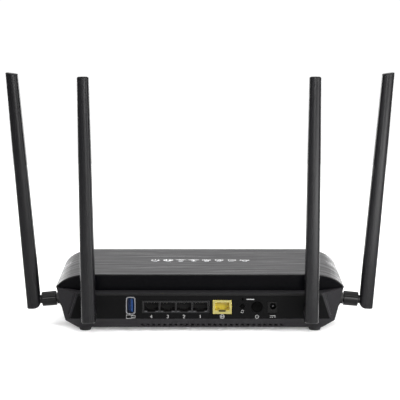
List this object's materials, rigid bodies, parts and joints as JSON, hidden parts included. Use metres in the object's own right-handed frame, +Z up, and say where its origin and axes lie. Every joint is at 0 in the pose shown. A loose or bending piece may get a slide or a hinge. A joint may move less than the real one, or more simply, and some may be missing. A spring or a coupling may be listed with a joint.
{
  "type": "wireless router",
  "caption": "Desktop wireless router: low arched body, connector side with network, USB and power sockets and push buttons, and hinged stick antennas that swivel.",
  "frame": {"origin": "on the table, midway between the outermost points in X and Y", "axes": "+Z up; +X to the right when facing the connector side; +Y from the connector side to the plain front"},
  "size_m": [0.3348, 0.1856, 0.2201],
  "materials": {
    "cover_brushed": "fine brushed grain running across the width, satin",
    "band_gloss": "gloss black",
    "housing_matte": "fine spark-textured matte",
    "panel_matte": "fine matte",
    "antenna_satin": "satin black",
    "sleeve_black": "gloss black coat with a ribbed grip band",
    "nut_dark": "black oxide",
    "jack_black": "black plated",
    "pin_steel": "turned",
    "board_green": "solder resist",
    "socket_grey": "moulded",
    "socket_yellow": "moulded yellow",
    "usb_steel": "plated",
    "usb_blue": "moulded blue",
    "contact_gold": "gold plated",
    "inlet_black": "moulded",
    "button_black": "satin",
    "chip_black": "moulded",
    "sink_aluminium": "extruded",
    "can_steel": "tinned",
    "capacitor_can": "drawn",
    "led_white": "moulded",
    "guide_clear": "clear moulding",
    "foot_rubber": "matt",
    "screw_steel": "zinc plated",
    "lead_black": "extruded jacket"
  },
  "bodies": {
    "router_body": {"top_cover": "cover_brushed", "mid_frame": "band_gloss", "bottom_housing": "housing_matte", "rear_panel": "panel_matte", "main_board": "board_green", "switch_board": "board_green", "lan_sockets": "socket_grey", "lan_contacts": "contact_gold", "wan_socket": "socket_yellow", "wan_contacts": "contact_gold", "usb_shell": "usb_steel", "usb_insert": "usb_blue", "usb_contacts": "contact_gold", "dc_inlet": "inlet_black", "dc_pin": "pin_steel", "power_switch": "inlet_black", "wps_switch": "inlet_black", "reset_switch": "inlet_black", "shield_cans": "can_steel", "processor": "chip_black", "heat_sink": "sink_aluminium", "line_transformers": "chip_black", "capacitors": "capacitor_can", "status_leds": "led_white", "light_guide": "guide_clear", "rubber_feet": "foot_rubber", "case_screws": "screw_steel", "board_screws": "screw_steel", "rear_pigtails": "lead_black", "side_pigtails": "lead_black", "jack_nuts": "nut_dark", "jack_washers": "nut_dark", "rear_left_jack": "jack_black", "rear_right_jack": "jack_black", "side_left_jack": "jack_black", "side_right_jack": "jack_black"},
    "rear_left_sleeve": {"rear_left_sleeve": "sleeve_black"},
    "rear_left_knuckle": {"rear_left_knuckle": "antenna_satin"},
    "rear_left_paddle": {"rear_left_paddle": "antenna_satin", "rear_left_hinge_pin": "pin_steel", "rear_left_radiator": "board_green"},
    "rear_right_sleeve": {"rear_right_sleeve": "sleeve_black"},
    "rear_right_knuckle": {"rear_right_knuckle": "antenna_satin"},
    "rear_right_paddle": {"rear_right_paddle": "antenna_satin", "rear_right_hinge_pin": "pin_steel", "rear_right_radiator": "board_green"},
    "side_left_sleeve": {"side_left_sleeve": "sleeve_black"},
    "side_left_knuckle": {"side_left_knuckle": "antenna_satin"},
    "side_left_paddle": {"side_left_paddle": "antenna_satin", "side_left_hinge_pin": "pin_steel", "side_left_radiator": "board_green"},
    "side_right_sleeve": {"side_right_sleeve": "sleeve_black"},
    "side_right_knuckle": {"side_right_knuckle": "antenna_satin"},
    "side_right_paddle": {"side_right_paddle": "antenna_satin", "side_right_hinge_pin": "pin_steel", "side_right_radiator": "board_green"},
    "power_button": {"power_button": "button_black"},
    "wps_button": {"wps_button": "button_black"},
    "reset_plunger": {"reset_plunger": "led_white"}
  },
  "joints": [
    {"name": "rear_left_sleeve_spin", "type": "hinge", "parent": "router_body", "child": "rear_left_sleeve", "pos_m": [-0.0935, -0.0862, 0.0206], "axis": [0, 1, 0], "continuous": true},
    {"name": "rear_left_swivel", "type": "hinge", "parent": "router_body", "child": "rear_left_knuckle", "pos_m": [-0.0935, -0.0862, 0.0206], "axis": [0, 1, 0], "range_deg": [-90, 60]},
    {"name": "rear_left_tilt", "type": "hinge", "parent": "rear_left_knuckle", "child": "rear_left_paddle", "pos_m": [-0.0935, -0.0862, 0.0206], "axis": [0.9999, 0, 0.0166], "range_deg": [0, 90]},
    {"name": "rear_right_sleeve_spin", "type": "hinge", "parent": "router_body", "child": "rear_right_sleeve", "pos_m": [0.0935, -0.0862, 0.0206], "axis": [0, 1, 0], "continuous": true},
    {"name": "rear_right_swivel", "type": "hinge", "parent": "router_body", "child": "rear_right_knuckle", "pos_m": [0.0935, -0.0862, 0.0206], "axis": [0, 1, 0], "range_deg": [-60, 90]},
    {"name": "rear_right_tilt", "type": "hinge", "parent": "rear_right_knuckle", "child": "rear_right_paddle", "pos_m": [0.0935, -0.0862, 0.0206], "axis": [1, 0, -0.0087], "range_deg": [0, 90]},
    {"name": "side_left_sleeve_spin", "type": "hinge", "parent": "router_body", "child": "side_left_sleeve", "pos_m": [-0.1451, -0.018, 0.0204], "axis": [0.9963, 0, 0.0854], "continuous": true},
    {"name": "side_left_swivel", "type": "hinge", "parent": "router_body", "child": "side_left_knuckle", "pos_m": [-0.1451, -0.018, 0.0204], "axis": [0.9963, 0, 0.0854], "range_deg": [-90, 90]},
    {"name": "side_left_tilt", "type": "hinge", "parent": "side_left_knuckle", "child": "side_left_paddle", "pos_m": [-0.1451, -0.018, 0.0204], "axis": [0, -1, 0], "range_deg": [0, 85]},
    {"name": "side_right_sleeve_spin", "type": "hinge", "parent": "router_body", "child": "side_right_sleeve", "pos_m": [0.1451, -0.018, 0.0204], "axis": [0.9963, 0, -0.0854], "continuous": true},
    {"name": "side_right_swivel", "type": "hinge", "parent": "router_body", "child": "side_right_knuckle", "pos_m": [0.1451, -0.018, 0.0204], "axis": [0.9963, 0, -0.0854], "range_deg": [-90, 90]},
    {"name": "side_right_tilt", "type": "hinge", "parent": "side_right_knuckle", "child": "side_right_paddle", "pos_m": [0.1451, -0.018, 0.0204], "axis": [0, 1, 0], "range_deg": [0, 85]},
    {"name": "power_button_press", "type": "slide", "parent": "router_body", "child": "power_button", "axis": [0, 1, 0], "range_m": [0, 0.0022], "stiffness_N_per_m": 450, "springref_m": -0.0008},
    {"name": "wps_button_press", "type": "slide", "parent": "router_body", "child": "wps_button", "axis": [0, 1, 0], "range_m": [0, 0.0006], "stiffness_N_per_m": 900, "springref_m": -0.0008},
    {"name": "reset_plunger_press", "type": "slide", "parent": "router_body", "child": "reset_plunger", "axis": [0, 1, 0], "range_m": [0, 0.0003], "stiffness_N_per_m": 900, "springref_m": -0.0008}
  ]
}
